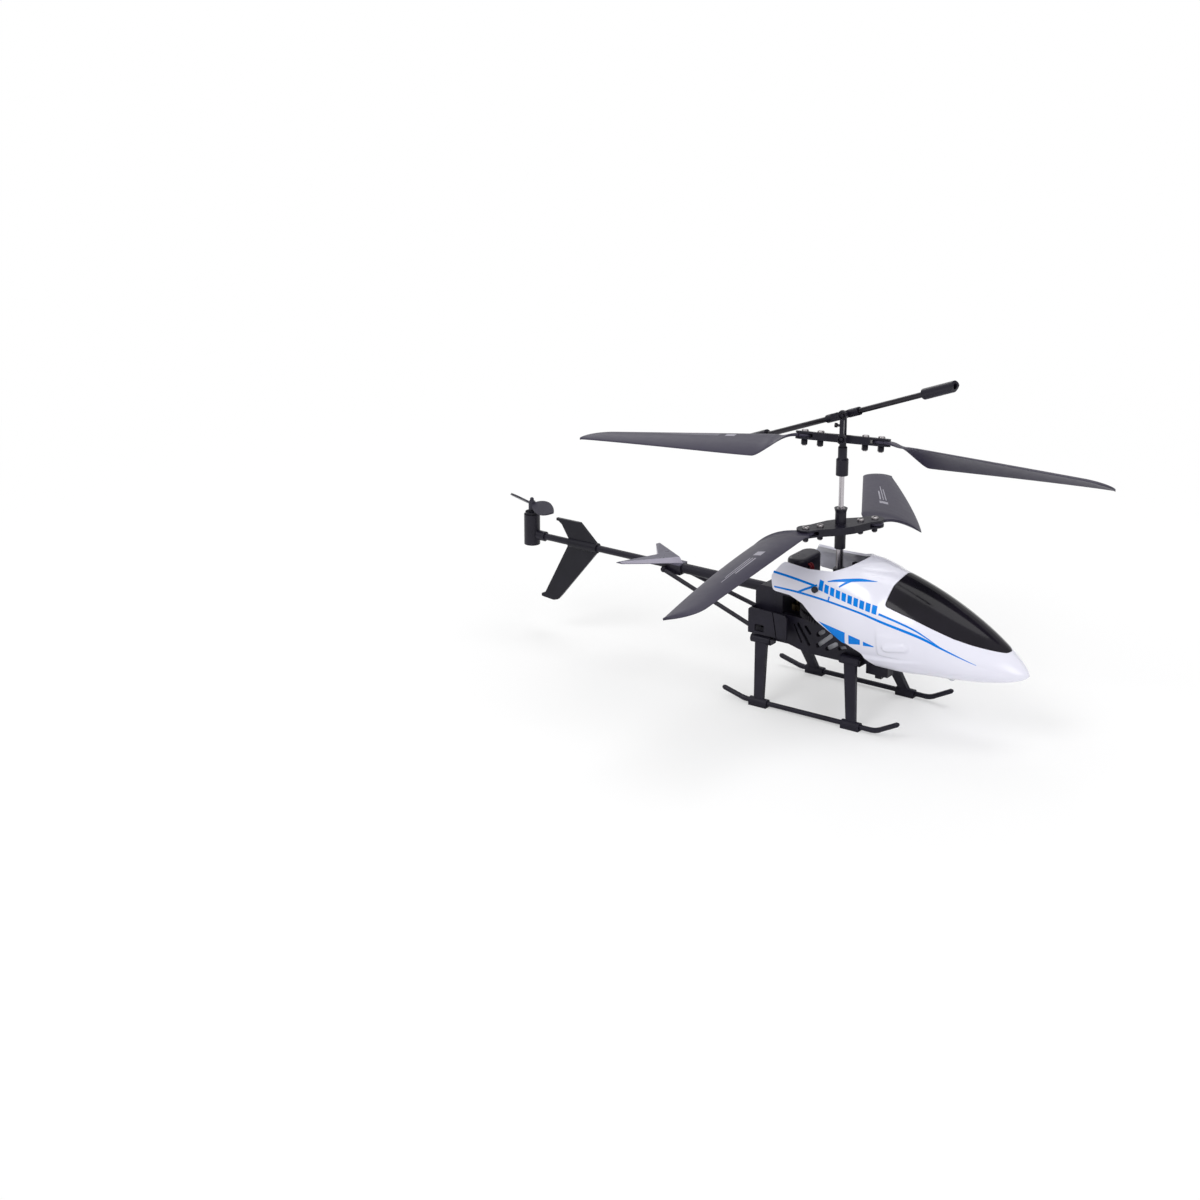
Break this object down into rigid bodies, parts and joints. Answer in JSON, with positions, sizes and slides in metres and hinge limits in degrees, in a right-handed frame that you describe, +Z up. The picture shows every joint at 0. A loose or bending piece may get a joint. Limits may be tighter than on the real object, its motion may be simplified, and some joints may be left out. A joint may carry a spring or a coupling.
{
  "type": "remote control helicopter",
  "caption": "Small indoor helicopter with two counter-turning rotors on one mast, a flybar, geared drive, canopy, skids, boom, fin and tail rotor.",
  "frame": {"origin": "under the mast axis, on the plane that the skid clamps stand on", "axes": "+X towards the nose, +Y to the helicopter's left, +Z up along the mast"},
  "size_m": [0.2369, 0.176, 0.128],
  "materials": {
    "canopy": "gloss",
    "windshield": "gloss",
    "black": "satin",
    "blade": "satin",
    "tail": "satin",
    "steel": "polished",
    "brass": "satin",
    "wire": "satin",
    "battery": "satin",
    "board": "satin",
    "lens": "gloss",
    "knob": "satin"
  },
  "bodies": {
    "airframe": {"canopy_shell": "canopy", "windshield": "windshield", "frame_plate_right": "black", "frame_plate_left": "black", "rear_housing": "black", "upper_deck": "black", "motor_cap": "black", "mast_bearing": "black", "shaft_bush": "black", "battery_tray": "black", "battery": "battery", "nose_frame": "black", "circuit_board": "board", "infrared_receiver": "black", "headlight": "lens", "switch_body": "black", "charging_socket": "steel", "motor_right": "steel", "motor_left": "steel", "motor_wires": "wire", "deck_screws": "steel", "canopy_pegs": "black", "skid_right": "black", "skid_left": "black", "strut_front_right": "black", "strut_front_left": "black", "strut_rear_right": "black", "strut_rear_left": "black", "strut_pins": "steel", "boom_sleeve": "black", "tail_boom": "black", "boom_rod_right": "black", "boom_rod_left": "black", "stabilizer": "tail", "vertical_fin": "tail", "tail_motor_holder": "black", "tail_motor": "steel"},
    "lower_rotor": {"outer_shaft": "steel", "main_gear_upper": "black", "lower_hub": "black", "lower_screws": "steel"},
    "lower_blade_near": {"lower_blade_near": "blade"},
    "lower_blade_far": {"lower_blade_far": "blade"},
    "upper_rotor": {"inner_shaft": "steel", "main_gear_lower": "black", "upper_head": "black", "head_pins": "steel", "head_screw": "steel"},
    "blade_holder": {"blade_holder": "black", "holder_screws": "steel"},
    "upper_blade_left": {"upper_blade_left": "blade"},
    "upper_blade_right": {"upper_blade_right": "blade"},
    "flybar": {"flybar_hub": "black", "flybar_rods": "steel", "flybar_weights": "black"},
    "link": {"link": "black"},
    "pinion_left": {"pinion_left": "brass"},
    "pinion_right": {"pinion_right": "brass"},
    "tail_rotor": {"tail_rotor": "black"},
    "switch_slider": {"switch_slider": "knob"}
  },
  "joints": [
    {"name": "lower_rotor_spin", "type": "hinge", "parent": "airframe", "child": "lower_rotor", "pos_m": [0, 0, 0.065], "axis": [0, 0, 1], "continuous": true},
    {"name": "upper_rotor_spin", "type": "hinge", "parent": "airframe", "child": "upper_rotor", "pos_m": [0, 0, 0.097], "axis": [0, 0, 1], "continuous": true},
    {"name": "pinion_left_spin", "type": "hinge", "parent": "airframe", "child": "pinion_left", "pos_m": [-0.01432, 0.00375, 0.037], "axis": [0, 0, 1], "continuous": true},
    {"name": "pinion_right_spin", "type": "hinge", "parent": "airframe", "child": "pinion_right", "pos_m": [-0.01432, -0.00375, 0.0338], "axis": [0, 0, 1], "continuous": true},
    {"name": "lower_blade_near_swing", "type": "hinge", "parent": "lower_rotor", "child": "lower_blade_near", "pos_m": [-0.00703, -0.01152, 0.065], "axis": [0, 0, 1], "range_deg": [-102, 43]},
    {"name": "lower_blade_far_swing", "type": "hinge", "parent": "lower_rotor", "child": "lower_blade_far", "pos_m": [0.00703, 0.01152, 0.065], "axis": [0, 0, 1], "range_deg": [-131, 14]},
    {"name": "flybar_tilt", "type": "hinge", "parent": "upper_rotor", "child": "flybar", "pos_m": [0, 0, 0.1055], "axis": [-0.225, -0.9744, 0], "range_deg": [-30, 2]},
    {"name": "holder_rock", "type": "hinge", "parent": "upper_rotor", "child": "blade_holder", "pos_m": [0, 0, 0.097], "axis": [-0.9583, -0.2857, 0], "range_deg": [-20.2, 1.5]},
    {"name": "link_lift", "type": "slide", "parent": "upper_rotor", "child": "link", "axis": [0, 0, 1], "range_m": [-0.0022, 0.0002]},
    {"name": "upper_blade_left_swing", "type": "hinge", "parent": "blade_holder", "child": "upper_blade_left", "pos_m": [-0.01294, -0.00386, 0.097], "axis": [-0.0739, 0.248, 0.9659], "range_deg": [-15, 63]},
    {"name": "upper_blade_right_swing", "type": "hinge", "parent": "blade_holder", "child": "upper_blade_right", "pos_m": [0.01294, 0.00386, 0.097], "axis": [-0.0739, 0.248, 0.9659], "range_deg": [-15, 63]},
    {"name": "tail_rotor_spin", "type": "hinge", "parent": "airframe", "child": "tail_rotor", "pos_m": [-0.1331, 0, 0.0486], "axis": [0, 0, 1], "continuous": true},
    {"name": "switch_slide", "type": "slide", "parent": "airframe", "child": "switch_slider", "axis": [1, 0, 0], "range_m": [-0.0012, 0.0012]}
  ],
  "couplings": [
    {"joint": "pinion_left_spin", "follows": "lower_rotor_spin", "ratio": -7.2222},
    {"joint": "pinion_right_spin", "follows": "upper_rotor_spin", "ratio": -7.2222},
    {"joint": "holder_rock", "follows": "flybar_tilt", "ratio": 0.66117},
    {"joint": "link_lift", "follows": "flybar_tilt", "m_per_rad": 0.004063}
  ]
}
